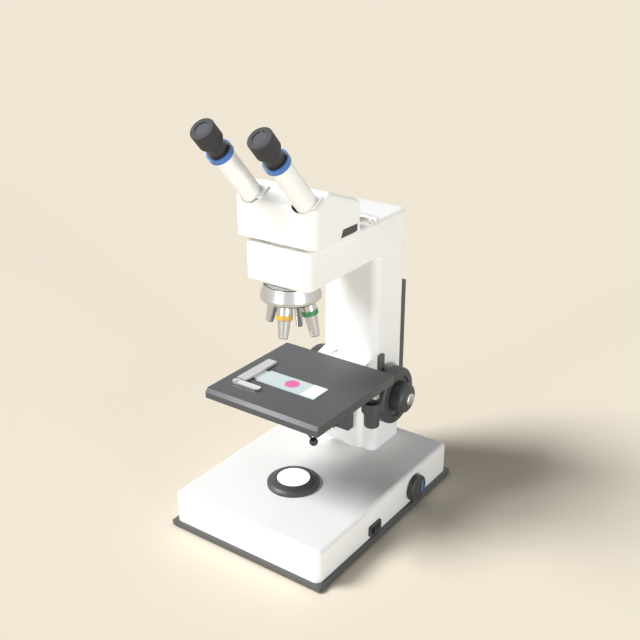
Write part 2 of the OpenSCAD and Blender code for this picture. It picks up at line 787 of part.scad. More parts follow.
module fine_shaft() color(steel) translate([0, focus_y, focus_z])
  rod_x(-cap_out + 2, cap_out - 2, fine_shaft_d / 2);

module fine_knob(side) translate([0, focus_y, focus_z]) mirror([side < 0 ? 1 : 0, 0, 0]) {
  color(charcoal) difference() {
    along_x_axis(fine_in) turned([
      [0, 0], [fine_d / 2, 0], [fine_d / 2, fine_out - fine_in], [0, fine_out - fine_in]
    ], [0, 1, 5.5, 0]);
    rod_x(coarse_out - 4, fine_out + 1, fine_shaft_d / 2);
  }
  color(silver) difference() {
    along_x_axis(fine_out) turned([
      [0, 0], [cap_d / 2, 0], [cap_d / 2, cap_out - fine_out], [0, cap_out - fine_out]
    ], [0, 0, 1.6, 0]);
    rod_x(fine_out - 1, cap_out - 2, fine_shaft_d / 2);
  }
}

module fine_knobs() for (s = [-1, 1]) fine_knob(s);

module stop_lever() color(charcoal) translate([0, focus_y, focus_z]) difference() {
  union() {
    rod_x(lever_in, lever_in + lever_t, boss_r + 5);
    along_x(lever_in, lever_in + lever_t) polygon([
      [-8, 4], [5, 10], [-5.5, 48], [-8, 51], [-16, 51], [-17.5, 48]
    ]);
  }
  rod_x(lever_in - 1, lever_in + lever_t + 1, boss_r + shaft_gap);
}

module lift_slide() color(steel) difference() {
  union() {
    block(-channel_x + slide_gap, channel_x - slide_gap, channel_front + slide_gap,
      col_front - slide_gap, slide_low, slide_high);
    block(-neck_x + slide_gap, neck_x - slide_gap, bracket_y1, channel_front + 1, slide_low,
      slide_high);
    block(-slot_half + 1, slot_half - 1, col_front - 1, rack_back + 1, rack_low, rack_low + 16);
    translate([0, rack_line, focus_z]) rotate([90, 0, 90]) translate([0, 0, -slot_half + 1])
      linear_extrude(2 * slot_half - 2) rotate(90) mirror([0, 1])
        rack_outline(focus_module, rack_low - focus_z, 9, rack_line - rack_back);
  }
  for (z = [96, 120]) translate([0, 0, z]) rod_y(bracket_y1 - 1, bracket_y1 + 12, 2);
}

module stage_bracket() {
  color(charcoal) difference() {
    union() {
      block(-bracket_x, bracket_x, bracket_y0, bracket_y1, bracket_low, carrier_low);
      for (s = [-1, 1]) block(s < 0 ? -19 : 12.5, s < 0 ? -12.5 : 19, cond_axis_y - 7,
        bracket_y0 + 1, cond_axis_z - 7, cond_axis_z + 7);
      along_z(bracket_low, carrier_low) translate([0, bracket_y0 + 0.01])
        polygon([[-4, 0], [4, 0], [6, -3.4], [-6, -3.4]]);
    }
    translate([0, cond_axis_y, cond_axis_z]) rod_x(-25, 25, 2.5 + shaft_gap);
    for (z = [96, 120]) translate([0, 0, z]) {
      rod_y(bracket_y0 - 5, bracket_y1 + 1, 2);
      rod_y(bracket_y0 - 5, bracket_y0 + 4, 3.6);
    }
    for (x = [-15, 15]) translate([x, bracket_y0 + 5, 0])
      rod_z(carrier_low - 10, carrier_low + 1, 2);
  }
  color(steel) for (z = [96, 120]) translate([0, 0, z]) {
    rod_y(bracket_y0 + 4, bracket_y1 + 12, 2);
    rod_y(bracket_y0 + 0.5, bracket_y0 + 4, 3.5);
  }
  color(steel) for (x = [-15, 15]) translate([x, bracket_y0 + 5, 0]) {
    rod_z(carrier_low - 10, carrier_low + 4, 2);
    rod_z(carrier_low + 4, carrier_low + 7, 3.5);
  }
}

module stage_carrier() color(charcoal) difference() {
  union() {
    translate([0, (carrier_y0 + carrier_y1) / 2, 0]) along_z(carrier_low, carrier_top)
      rr(2 * carrier_x, carrier_y1 - carrier_y0, 4);
    translate([y_line, drive_y, 0]) along_z(y_pinion_low, y_pinion_high) rotate(-90)
      rack_outline(drive_module, -19, 19, y_line - carrier_x + 1);
  }
  rod_z(carrier_low - 1, carrier_top + 1, cond_r + 1);
  for (x = [-leg_x, leg_x]) along_y(carrier_y0 - 1, carrier_y1 + 1) translate([x, carrier_top])
    polygon([[-2.5 - slide_gap, 0.1], [2.5 + slide_gap, 0.1], [4 + slide_gap, -3.8],
      [-4 - slide_gap, -3.8]]);
  for (x = [-15, 15]) translate([x, bracket_y0 + 5, 0]) {
    rod_z(carrier_low - 1, carrier_low + 5, 2);
    rod_z(carrier_low + 4, carrier_top + 1, 3.6);
  }
}

module y_plate() color(charcoal) difference() {
  union() {
    block(table_x0, table_x1, table_y0, table_y1, lug_top + 3, table_top);
    for (x = [-leg_x, leg_x]) {
      block(x - 6, x + 6, carrier_y0 + 2, table_y1, table_low, lug_top + 4);
      along_y(carrier_y0 + 2, table_y1) translate([x, table_low + 0.01])
        polygon([[-2.5, 0], [2.5, 0], [4, -3.7], [-4, -3.7]]);
    }
    block(leg_x, drive_x, drive_y - 8, drive_y + 8, table_low, lug_top);
    translate([drive_x, drive_y]) rod_z(table_low, lug_top, 8);
  }
  block(-17, 17, -27, 27, table_low - 5, table_top + 1);
  block(-31, 31, 30, table_y1 - 6, table_low, table_top - 4);
  block(drive_x - x_right - 18, drive_x + 20, x_line - 7, x_line + 1.2, lug_top, rim_low + 0.2);
  block(drive_x - x_right - 18, drive_x + 20, x_line - 7, x_line - 0.4, lug_top + 1, table_top + 1);
  for (y = [-40, 35]) along_x(table_x0 - 1, table_x1 + 1) translate([y, table_top])
    polygon([[-3.3, 0.1], [3.3, 0.1], [4.8, -3.8], [-4.8, -3.8]]);
  translate([drive_x, drive_y]) rod_z(table_low - 1, lug_top + 1, drive_tube_r + shaft_gap);
}

module y_knob() color(charcoal) translate([drive_x, drive_y]) difference() {
  union() {
    translate([0, 0, y_knob_low]) turned([
      [0, 0], [y_knob_d / 2, 0], [y_knob_d / 2, y_knob_top - y_knob_low],
      [0, y_knob_top - y_knob_low]
    ], [0, 1, 0.8, 0]);
    rod_z(y_knob_top - 1, lug_top - 0.1, drive_tube_r);
    along_z(y_pinion_low, y_pinion_high - 0.1) rotate(180) gear(drive_module, drive_teeth);
  }
  rod_z(y_knob_low - 1, lug_top + 1, drive_shaft_r + shaft_gap);
}

module x_knob() color(charcoal) translate([drive_x, drive_y]) union() {
  translate([0, 0, x_knob_low]) turned([
    [0, 0], [x_knob_d / 2, 0], [x_knob_d / 2, x_knob_top - x_knob_low],
    [0, x_knob_top - x_knob_low]
  ], [0, 1.5, 0.8, 0]);
  rod_z(x_knob_top - 1, x_pinion_high, drive_shaft_r);
  along_z(x_pinion_low, x_pinion_high) rotate(-90) gear(drive_module, drive_teeth);
}

module stage_plate() color(charcoal) difference() {
  intersection() {
    translate([stage_shift, stage_y, 0]) along_z(rim_low, stage_z) rr(stage_w, stage_l, 5);
    along_x(stage_x0, stage_x1) polygon([
      [-stage_front, rim_low], [-stage_front, stage_z - 3.6], [-stage_front + 3.6, stage_z],
      [stage_rear, stage_z], [stage_rear, rim_low]
    ]);
  }
  difference() {
    block(stage_x0 + rim_wall, stage_x1 - rim_wall, -stage_front + rim_wall + 1,
      stage_rear - rim_wall, rim_low - 1, sheet_low);
    for (y = [-40, 35]) along_x(stage_x0, stage_x1) translate([y, sheet_low])
      polygon([[-3, 0.5], [3, 0.5], [4.5, -3.5], [-4.5, -3.5]]);
  }
  block(stage_x0 + 10, stage_x1 - 10, stage_rear - rim_wall - 1, stage_rear + 1,
    rim_low - 1, sheet_low);
  block(-x_right - 5.5, x_left + 5.5, -12, 11, sheet_low - 1, stage_z + 1);
  for (y = [-18, 21]) translate([-49, y]) rod_z(sheet_low - 1, stage_z + 1, 1.5);
  translate([-51, -30]) rod_z(sheet_low - 1, stage_z + 1, 1.5);
  for (x = [drive_x - x_right - 1, stage_x1 - 9]) translate([x, x_line - 4])
    rod_z(sheet_low - 1, sheet_low + 2, 1.5);
}

module x_rack() {
  color(steel) difference() {
    union() {
      translate([drive_x, x_line, 0]) along_z(x_pinion_low, x_pinion_high)
        rack_outline(drive_module, -x_right - 6, stage_x1 - drive_x, 6);
      block(drive_x - x_right - 6, stage_x1 - rim_wall - 0.3, x_line - 6, x_line - 1.6,
        x_pinion_low + 1, sheet_low);
    }
    for (x = [drive_x - x_right - 1, stage_x1 - 9]) translate([x, x_line - 4]) {
      rod_z(x_pinion_low - 1, sheet_low + 1, 1.5);
      rod_z(x_pinion_low - 1, x_pinion_low + 3, m3_head_r - 0.5);
    }
  }
  color(steel) for (x = [drive_x - x_right - 1, stage_x1 - 9]) translate([x, x_line - 4]) {
    rod_z(x_pinion_low + 3, sheet_low + 2, 1.5);
    rod_z(x_pinion_low + 1, x_pinion_low + 3, m3_head_r - 0.5);
  }
}

module clip_bar() {
  color(steel) difference() {
    union() {
      block(-55, -slide_l / 2 + 0.3, -11, 9, stage_z, stage_z + 0.9);
      translate([-49, 3, 0]) along_z(stage_z + 0.9, stage_z + 3.4) rr(12, 54, 1.5);
      block(-54, -44, -20, 26, stage_z, stage_z + 1);
    }
    for (y = [-18, 21]) translate([-49, y]) {
      rod_z(stage_z - 1, stage_z + 4, 1.5);
      rod_z(stage_z + 2, stage_z + 4, 2.8);
    }
  }
  color(steel) for (y = [-18, 21]) translate([-49, y]) {
    rod_z(sheet_low, stage_z + 2, 1.5);
    rod_z(stage_z + 2, stage_z + 3.4, 2.75);
  }
  color(steel) translate([-51, -30]) {
    rod_z(sheet_low, stage_z + 3.6, 1.5);
    rod_z(stage_z + 3.2, stage_z + 4, 3);
  }
}

module clip_finger() color([0.9, 0.9, 0.9]) difference() {
  union() {
    translate([-51, -30]) rod_z(stage_z + 0.3, stage_z + 2.9, 4);
    block(-51, -23, -34, -26, stage_z + 0.7, stage_z + 2.9);
    translate([-23, -30]) rod_z(stage_z + 0.7, stage_z + 2.9, 4);
  }
  translate([-51, -30]) rod_z(stage_z - 1, stage_z + 4, 1.55);
}

module glass_slide() color(glassy)
  block(-slide_l / 2 + 0.3, slide_l / 2 + 0.3, -slide_w / 2 - 1, slide_w / 2 - 1, stage_z,
    stage_z + slide_t);

module slide_marks() {
  color([0.97, 0.97, 0.97]) block(slide_l / 2 - 17, slide_l / 2 + 0.2, -slide_w / 2 - 0.9,
    slide_w / 2 - 1.1, stage_z + slide_t, stage_z + slide_t + 0.15);
  color([0.91, 0.38, 0.65]) rod_z(stage_z + slide_t, stage_z + slide_t + 0.2, 8);
}

module condenser_holder() color(charcoal) difference() {
  union() {
    rod_z(holder_low, holder_top, cond_r + 5);
    block(-8, 8, cond_r - 2, cond_line + 4, holder_top - 8, holder_top);
    block(-10, 10, cond_line + 1, bracket_y0 - slide_gap, cond_axis_z - 8, holder_top);
    translate([0, cond_line, cond_axis_z]) rotate([90, 0, 90]) translate([0, 0, -8])
      linear_extrude(16) rotate(90) rack_outline(cond_module, -7, 22, 4);
  }
  rod_z(holder_low - 6, holder_top + 1, cond_r);
  rod_z(holder_low - 6, holder_low, cond_r + 0.5);
  along_z(cond_axis_z - 20, holder_top + 1) translate([0, bracket_y0])
    polygon([[-4.4, 0.5], [4.4, 0.5], [6.4, -3.8], [-6.4, -3.8]]);
}

module condenser_body() color(charcoal) difference() {
  union() {
    rod_z(iris_top, carrier_top - 2, cond_r);
    rod_z(carrier_top - 2.1, cond_top, neck_r);
    rod_z(cond_low, iris_top + 1, spindle_r);
    rod_z(cond_low, iris_low - slide_gap, cond_r - 2);
  }
  rod_z(cond_low - 1, cond_low + 8, 13);
  rod_z(cond_low + 7, cond_top - 5, 10);
  rod_z(cond_top - 5.1, cond_top + 1, 11);
}

module condenser_lens() color(glassy) {
  rod_z(cond_top - 5, cond_top - 0.5, 11);
  rod_z(cond_low + 3, cond_low + 8, 13);
}

module iris_lever() {
  color(steel) difference() {
    rod_z(iris_low, iris_top - slide_gap, cond_r);
    rod_z(iris_low - 1, iris_top + 1, spindle_r + shaft_gap);
  }
  color(steel) rotate([0, 0, lever_angle]) translate([0, 0, (iris_low + iris_top) / 2])
    rod_x(cond_r - 1, lever_reach - ball_d / 2 + 1, 1.4);
  color(black) rotate([0, 0, lever_angle]) translate([lever_reach, 0, (iris_low + iris_top) / 2])
    sphere(d = ball_d);
}

module condenser_knob() color(charcoal) translate([0, cond_axis_y, cond_axis_z]) union() {
  rod_x(-44, 21, 2.5);
  along_x(-9, 9) gear(cond_module, cond_teeth);
  along_x_axis(-56) turned([[0, 0], [10, 0], [10, 12], [0, 12]], [0, 1.5, 1, 0]);
}

module nose_frame() translate([0, 0, turret_z]) children();

module objective_place(a) nose_frame() rotate([0, 0, a + nose_turn]) translate([0, -nose_reach, 0])
  rotate([-objective_splay, 0, 0]) children();

module nosepiece_seat() color(silver) difference() {
  union() {
    rod_z(arm_bottom - seat_t, arm_bottom, seat_r);
    rod_z(arm_bottom - 0.5, arm_bottom + 12, arm_bore_r);
    nose_frame() {
      rod_z(keeper_top - 0.5, turret_h + 1, bush_out);
      rod_z(1.4, keeper_top, keeper_r);
    }
  }
  rod_z(turret_z, arm_bottom + 20, nose_bore);
}

module turret() color(silver) difference() {
  nose_frame() rotate_extrude() polygon([
    [0, 0], [turret_r - 2.2, 0], [turret_r, 2.2], [turret_r, 5],
    [turret_top_r, turret_h], [0, turret_h]
  ]);
  for (a = [0:90:270]) objective_place(a) {
    rod_z(-5, 40, nose_bore);
    rod_z(-5, mount_h, mount_r);
  }
  nose_frame() {
    rod_z(-1, turret_h + 1, bush_out + shaft_gap);
    rod_z(-1, keeper_top + slide_gap, keeper_r + 0.4);
  }
}

module barrel(points) rotate_extrude() polygon(points);

module banded_objective(l) barrel([
  [nose_bore, mount_h], [mount_r, mount_h], [mount_r, flange_z], [8, flange_z], [8, -10.8],
  [7.7, -10.8], [7.7, -15.6], [6.9, -16.4], [5.1, -l + 0.8], [4.7, -l], [3, -l], [3, -l + 3],
  [nose_bore, -l + 6]
]);

module slim_objective(l, r0, r1, bore) barrel([
  [nose_bore, mount_h], [mount_r, mount_h], [mount_r, flange_z], [7.4, flange_z], [7.4, -6],
  [r0, -7.2], [r1, -l + 0.8], [r1 - 0.5, -l], [bore, -l], [bore, -l + 3], [bore, -6],
  [nose_bore, -4]
]);

module objectives_long() color(silver) {
  objective_place(0) banded_objective(yellow_l);
  objective_place(90) banded_objective(green_l);
  objective_place(180) slim_objective(slim_l, 4.4, 4, 2.6);
}

module objectives_short() color(silver)
  objective_place(270) slim_objective(short_l, 6.2, 4.3, 3);

module objective_band() barrel([[7.7, -10.8], [8.5, -10.8], [8.5, -15.6], [7.7, -15.6]]);

module objective_bands() {
  color(yellow) objective_place(0) objective_band();
  color(green) objective_place(90) objective_band();
}

module objective_lens(a, l, r) objective_place(a) rod_z(-l + 0.6, -l + 3, r);

module objective_lenses() color(glassy) {
  objective_lens(0, yellow_l, 3);
  objective_lens(90, green_l, 3);
  objective_lens(180, slim_l, 2.6);
  objective_lens(270, short_l, 3);
}

module head_mount() color(silver) {
  difference() {
    union() {
      rod_z(arm_top, head_low, 22);
      rod_z(arm_top - 8, arm_top + 0.5, arm_bore_r);
    }
    rod_z(arm_top - 9, head_low + 1, 13);
  }
  difference() {
    union() {
      block(-20, 34, head_rear + 2, head_rear + 16, arm_top, arm_top + 4);
      block(-20, -8.2, head_rear + 2, head_rear + 16, arm_top + 4, clamp_z + 5);
      block(12, 34, head_rear + 2, head_rear + 16, arm_top + 4, clamp_z + 5);
    }
    translate([0, clamp_y, clamp_z]) rod_x(5, 40, 3 + shaft_gap);
  }
}

module edge_strip(p1, p2, x, r) {
  run = norm(p2 - p1);
  tilt = atan2(p2[1] - p1[1], p2[0] - p1[0]);
  mirror([x < 0 ? 1 : 0, 0, 0]) translate([abs(x), p1[0], p1[1]]) rotate([tilt, 0, 0])
    translate([0, run + 20, 0]) rotate([90, 0, 0]) linear_extrude(run + 40) difference() {
      translate([-r, -r]) square(r + 3);
      translate([-r, -r]) circle(r);
    }
}

module head_outline(grow) rounded_poly([
  [-head_front + grow, head_low], [-head_front + grow, face_low - grow * 0.6],
  [ridge_y, ridge_z - grow * 1.15], [head_tail - grow * 0.4, tail_z - grow],
  [head_rear - grow, tail_z - 12], [head_rear - grow, head_low]
], grow > 0 ? [0, 0, 0, 0, 0, 0] : [0, head_round, 3, 10, 8, 0]);

module head_housing() color(white) difference() {
  union() {
    difference() {
      intersection() {
        along_x(-head_x, head_x) head_outline(0);
        translate([0, (head_rear - head_front) / 2, 0]) along_z(head_low, ridge_z + 5)
          rr(head_w, head_rear + head_front, 8);
      }
      for (x = [-head_x, head_x]) {
        edge_strip([-head_front, face_low], [ridge_y, ridge_z], x, head_side_round);
        edge_strip([ridge_y, ridge_z], [head_tail, tail_z], x, head_side_round);
      }
      intersection() {
        along_x(-head_x + head_wall, head_x - head_wall) head_outline(head_wall);
        block(-head_x, head_x, -60, 60, head_low + head_wall, ridge_z + 5);
      }
    }
    block(-8, 8, head_rear - 1, head_rear + 14, head_low, clamp_z + 3);
  }
  rod_z(head_low - 1, head_low + head_wall + 1, 13);
  for (s = [-1, 1]) translate([s * pupil_x, face_y, face_z]) rotate([lean, 0, 0])
    translate([0, 0, -22]) linear_extrude(30) {
      circle(tube_r + pass_gap);
      translate([-s * pupil_travel, 0]) circle(tube_r + pass_gap);
      translate([-s * pupil_travel / 2, 0]) square([pupil_travel, 2 * (tube_r + pass_gap)], center = true);
    }
  along_x(head_x - 2.2, head_x + 1) port_shape();
}

module port_shape() polygon([
  [17.3, head_low + 1.4], [20.8, head_low + 9.6], [46.3, head_low + 9.6], [46.3, head_low + 2.4],
  [40.5, head_low + 1.4]
]);

module port_cover() color(charcoal) along_x(head_x - 2.2, head_x - 0.2) port_shape();

module clamp_screw() color(silver) translate([0, clamp_y, clamp_z]) {
  rod_x(8.3, 37, 3);
  along_x_axis(36.5) turned([[0, 0], [screw_r, 0], [screw_r, 17], [0, 17]], [0, 0.8, 1, 0]);
  along_x_axis(53.4) turned([[0, 0], [4.2, 0], [4.2, 6.6], [0, 6.6]], [0, 0, 0.8, 0]);
}

module prisms() color(glassy) {
  along_x(-14, 14) translate([0, head_low + head_wall]) polygon([[-13, 0], [13, 0], [-13, 21]]);
  for (s = [-1, 1]) block(s < 0 ? -42 : 20, s < 0 ? -20 : 42, -12, 12, head_low + head_wall,
    head_low + head_wall + 17);
}

module tube_frame(s) translate([s * pupil_x, face_y, face_z]) rotate([lean, 0, 0]) children();

module tube(s) color(white) {
  difference() {
    union() {
      tube_frame(s) {
        rod_z(-9, tube_l, tube_r);
        rod_z(tube_l - 1, tube_l + ring_h - 1.6, tube_r - 1);
      }
      translate([s * (pupil_x - 1.5), face_y, face_z]) rotate([face_slope, 0, 0])
        translate([0, 2.6, 0]) along_z(slide_gap, 2.2) rr(29.5, 17.6, 3);
    }
    tube_frame(s) rod_z(-20, tube_l + ring_h + 1, tube_bore);
  }
}

module ring(s) color(blue) tube_frame(s) difference() {
  rod_z(tube_l + 0.3, tube_l + ring_h, ring_d / 2);
  rod_z(tube_l - 1, tube_l + ring_h - 1.6, tube_r - 1 + shaft_gap);
  rod_z(tube_l + ring_h - 1.7, tube_l + ring_h + 1, tube_r + 0.3);
}

module eyepiece(s) tube_frame(s) {
  z0 = tube_l + ring_h;
  z1 = z0 + neck_l;
  z2 = z1 + cup_l;
  color(black) difference() {
    union() {
      rod_z(tube_l - 22, z0, tube_bore);
      rod_z(z0 - 1.4, z0 - 0.2, tube_r);
      rod_z(z0 - 0.3, z1 + 6, neck_d / 2);
    }
    rod_z(tube_l - 23, z1 + 7, tube_bore - 1.5);
  }
  color([0.22, 0.22, 0.23]) difference() {
    rotate_extrude() polygon([
      [neck_d / 2, z1], [cup_d / 2, z1 + 5], [cup_d / 2, z2 - 0.8], [cup_d / 2 - 0.8, z2],
      [7.5, z2], [7.5, z1 + 6], [neck_d / 2, z1 + 6]
    ]);
  }
  color([0.25, 0.27, 0.3]) {
    rod_z(z2 - 3.2, z2 - 1, 7.5);
    rod_z(tube_l - 20, tube_l - 17, tube_bore - 1.5);
  }
}

module tube_left() tube(-1);
module tube_right() tube(1);
module ring_left() ring(-1);
module ring_right() ring(1);
module eyepiece_left() eyepiece(-1);
module eyepiece_right() eyepiece(1);

base_plate();
rubber_feet();
plate_screws();
base_housing();
lamp_ring();
field_lens();
collector_lens();
lamp_module();
driver_board();
dimmer_knob();
switch_body();
switch_rocker();
power_jack();
column();
arm();
arm_cover();
focus_block();
rear_cover();
m5_bolts();
m3_screws();
coarse_shaft();
coarse_knobs();
fine_shaft();
fine_knobs();
stop_lever();
lift_slide();
stage_bracket();
stage_carrier();
y_plate();
y_knob();
stage_plate();
x_rack();
x_knob();
clip_bar();
clip_finger();
glass_slide();
slide_marks();
condenser_holder();
condenser_body();
condenser_lens();
iris_lever();
condenser_knob();
nosepiece_seat();
turret();
objectives_long();
objectives_short();
objective_bands();
objective_lenses();
head_mount();
head_housing();
port_cover();
clamp_screw();
prisms();
tube_left();
tube_right();
ring_left();
ring_right();
eyepiece_left();
eyepiece_right();
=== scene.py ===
import math

import bmesh
import bpy
from mathutils import Matrix, Vector


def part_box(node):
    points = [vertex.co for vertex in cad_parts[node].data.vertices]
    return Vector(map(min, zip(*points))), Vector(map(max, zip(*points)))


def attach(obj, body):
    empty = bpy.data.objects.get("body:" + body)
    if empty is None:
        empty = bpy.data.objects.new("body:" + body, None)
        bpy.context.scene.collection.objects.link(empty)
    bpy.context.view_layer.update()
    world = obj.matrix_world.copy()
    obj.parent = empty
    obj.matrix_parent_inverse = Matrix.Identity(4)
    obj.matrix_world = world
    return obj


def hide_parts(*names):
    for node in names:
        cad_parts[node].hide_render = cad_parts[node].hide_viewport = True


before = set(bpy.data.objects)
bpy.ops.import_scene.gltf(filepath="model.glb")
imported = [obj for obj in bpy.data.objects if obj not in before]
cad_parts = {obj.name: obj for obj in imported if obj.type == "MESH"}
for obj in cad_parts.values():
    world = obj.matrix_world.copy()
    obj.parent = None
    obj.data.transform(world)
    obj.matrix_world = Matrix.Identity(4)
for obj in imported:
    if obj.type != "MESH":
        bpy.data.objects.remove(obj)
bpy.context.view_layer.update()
bpy.context.scene.view_settings.view_transform = "Standard"

# The table top is warm beige paper. A soft key lamp at the front left throws the deep shadow
# behind the base, and two weak fills from the front and the right keep the enamel white. The room
# shows pale in metal and glass and behind the table, but lights the object only a little.
table_size = 60
bpy.ops.object.select_all(action="DESELECT")
bpy.ops.mesh.primitive_plane_add(size=table_size, location=(0, 0, 0))
table_top = bpy.context.object
table_top.name = "table_top"
paper = bpy.data.materials.new("beige paper")
paper.use_nodes = True
paper_shader = paper.node_tree.nodes["Principled BSDF"]
paper_shader.inputs["Base Color"].default_value = (0.835, 0.762, 0.637, 1)
paper_shader.inputs["Roughness"].default_value = 0.9
paper_shader.inputs["Specular IOR Level"].default_value = 0.0
table_top.data.materials.append(paper)

room_light = 0.19
room_shown = 0.95
room = bpy.data.worlds.new("pale room")
bpy.context.scene.world = room
room.use_nodes = True
room_nodes = room.node_tree.nodes
room_links = room.node_tree.links
room_background = room_nodes["Background"]
room_background.inputs["Color"].default_value = (1.0, 0.99, 0.975, 1)
ray_kind = room_nodes.new("ShaderNodeLightPath")
shown = ray_kind.outputs["Is Glossy Ray"]
for other_ray in ("Is Camera Ray", "Is Transmission Ray"):
    either = room_nodes.new("ShaderNodeMath")
    either.operation = "MAXIMUM"
    room_links.new(shown, either.inputs[0])
    room_links.new(ray_kind.outputs[other_ray], either.inputs[1])
    shown = either.outputs["Value"]
room_level = room_nodes.new("ShaderNodeMapRange")
room_level.inputs["To Min"].default_value = room_light
room_level.inputs["To Max"].default_value = room_shown
room_links.new(shown, room_level.inputs["Value"])
room_links.new(room_level.outputs["Result"], room_background.inputs["Strength"])


def sun(name, toward_light, energy, softness, colour=(1, 1, 1)):
    lamp_height = 1.6
    bpy.ops.object.light_add(type="SUN", location=(0, 0, lamp_height))
    lamp = bpy.context.object
    lamp.name = name
    lamp.data.energy = energy
    lamp.data.angle = math.radians(softness)
    lamp.data.color = colour
    lamp.rotation_euler = Vector(toward_light).to_track_quat("Z", "Y").to_euler()


sun("key_light", (-0.68, -0.61, 1.0), 3.4, 24)
sun("front_fill", (-0.15, -1.0, 0.09), 0.8, 14)
sun("right_fill", (1.0, -0.35, 0.06), 1.72, 12, (0.94, 0.975, 1.0))

# The camera stands to the right of the user and looks down at the stand, as in the photograph.
# Its place and its lens were fitted to that picture.
view_azimuth = math.radians(35.54)
view_elevation = math.radians(23.38)
view_roll = math.radians(-0.08)
view_target = Vector((0.02095, 0.02088, 0.2365))
view_distance = 0.96434
turn = (Matrix.Rotation(view_azimuth, 3, "Z")
        @ Matrix.Rotation(math.pi / 2 - view_elevation, 3, "X")
        @ Matrix.Rotation(view_roll, 3, "Z"))
bpy.ops.object.camera_add(location=view_target + turn @ Vector((0, 0, view_distance)))
camera = bpy.context.object
camera.rotation_euler = turn.to_euler()
camera.data.sensor_width = 36
camera.data.lens = 53.15
camera.data.clip_end = 100
bpy.context.scene.camera = camera


# The base plate is charcoal powder-coated steel on four rubber feet, held to the housing by six
# screws. Its coat, like every finish here, has a fine grain in its surface and in its gloss.
def finish_of(name, colour, roughness, metallic=0.0, grain=0.04, coat=0.0, painted_glow=0.0):
    grain_scale = 900.0
    grain_depth = 0.0002
    gloss_spread = 0.06
    material = bpy.data.materials.new(name)
    material.use_nodes = True
    nodes = material.node_tree.nodes
    links = material.node_tree.links
    shader = nodes["Principled BSDF"]
    shader.inputs["Base Color"].default_value = (*colour, 1)
    shader.inputs["Metallic"].default_value = metallic
    shader.inputs["Coat Weight"].default_value = coat
    shader.inputs["Emission Color"].default_value = (*colour, 1)
    shader.inputs["Emission Strength"].default_value = painted_glow
    place = nodes.new("ShaderNodeTexCoord")
    noise = nodes.new("ShaderNodeTexNoise")
    bump = nodes.new("ShaderNodeBump")
    gloss = nodes.new("ShaderNodeMapRange")
    noise.inputs["Scale"].default_value = grain_scale
    noise.inputs["Detail"].default_value = 2.0
    bump.inputs["Strength"].default_value = grain
    bump.inputs["Distance"].default_value = grain_depth
    gloss.inputs["To Min"].default_value = roughness * (1 - gloss_spread)
    gloss.inputs["To Max"].default_value = roughness * (1 + gloss_spread)
    links.new(place.outputs["Object"], noise.inputs["Vector"])
    links.new(noise.outputs["Fac"], bump.inputs["Height"])
    links.new(noise.outputs["Fac"], gloss.inputs["Value"])
    links.new(bump.outputs["Normal"], shader.inputs["Normal"])
    links.new(gloss.outputs["Result"], shader.inputs["Roughness"])
    return material


def dress(node, *materials):
    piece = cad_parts[node]
    piece.data.materials.clear()
    for material in materials:
        piece.data.materials.append(material)
    for face in piece.data.polygons:
        face.material_index = 0
    return piece


def pick_only(piece):
    bpy.ops.object.select_all(action="DESELECT")
    piece.select_set(True)
    bpy.context.view_layer.objects.active = piece


def new_block(name, low, high):
    bpy.ops.object.select_all(action="DESELECT")
    bpy.ops.mesh.primitive_cube_add(size=1, location=(Vector(low) + Vector(high)) / 2)
    block = bpy.context.object
    block.name = name
    block.scale = Vector(high) - Vector(low)
    bpy.ops.object.transform_apply(location=True, rotation=True, scale=True)
    return block


def round_edges(piece, radius, segments, wanted):
    pick_only(piece)
    bpy.ops.object.mode_set(mode="EDIT")
    bpy.ops.mesh.select_mode(type="EDGE")
    bpy.ops.mesh.select_all(action="DESELECT")
    mesh = bmesh.from_edit_mesh(piece.data)
    for edge in mesh.edges:
        edge.select_set(bool(wanted(edge.verts[0].co, edge.verts[1].co)))
    bmesh.update_edit_mesh(piece.data)
    bpy.ops.mesh.bevel(offset=radius, segments=segments, affect="EDGES")
    bpy.ops.object.mode_set(mode="OBJECT")


def upright(a, b):
    return abs(a.z - b.z) > near and (a - b).xy.length < same_place


def at_height(height):
    return lambda a, b: max(abs(a.z - height), abs(b.z - height)) < same_place


def finish(piece, body, slot, nodes, *materials):
    smooth_angle = math.radians(32)
    for material in materials:
        piece.data.materials.append(material)
    pick_only(piece)
    bpy.ops.object.shade_smooth_by_angle(angle=smooth_angle)
    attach(piece, body)
    if nodes:
        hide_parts(*nodes)


charcoal_powder = finish_of("charcoal powder coat", (0.088, 0.09, 0.09), 0.5, grain=0.25)
bright_steel = finish_of("bright steel", (0.62, 0.63, 0.64), 0.3, metallic=1.0)
foot_rubber = finish_of("black foot rubber", (0.03, 0.03, 0.032), 0.8)
near = 0.001
same_place = 0.0001
plate_corner = 0.0012
plate_rim = 0.0006
plate_low, plate_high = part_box("base_plate")
plate = new_block("base_plate_steel", plate_low, plate_high)
round_edges(plate, plate_corner, 4, upright)
round_edges(plate, plate_rim, 2, at_height(plate_high.z))
finish(plate, "frame", "base_plate", ["base_plate"], charcoal_powder)
dress("rubber_feet", foot_rubber)
dress("plate_screws", bright_steel)


# The base housing is one white moulding in satin enamel, open below and closed by the plate. It
# has a hole for the light, one for the brightness bush, and openings for the switch and inlet.
def cut(piece, *cutters):
    pick_only(piece)
    for cutter in cutters:
        trim = piece.modifiers.new("cut", "BOOLEAN")
        trim.operation = "DIFFERENCE"
        trim.object = cutter
        trim.solver = "EXACT"
        bpy.ops.object.modifier_apply(modifier=trim.name)
        bpy.data.objects.remove(cutter, do_unlink=True)


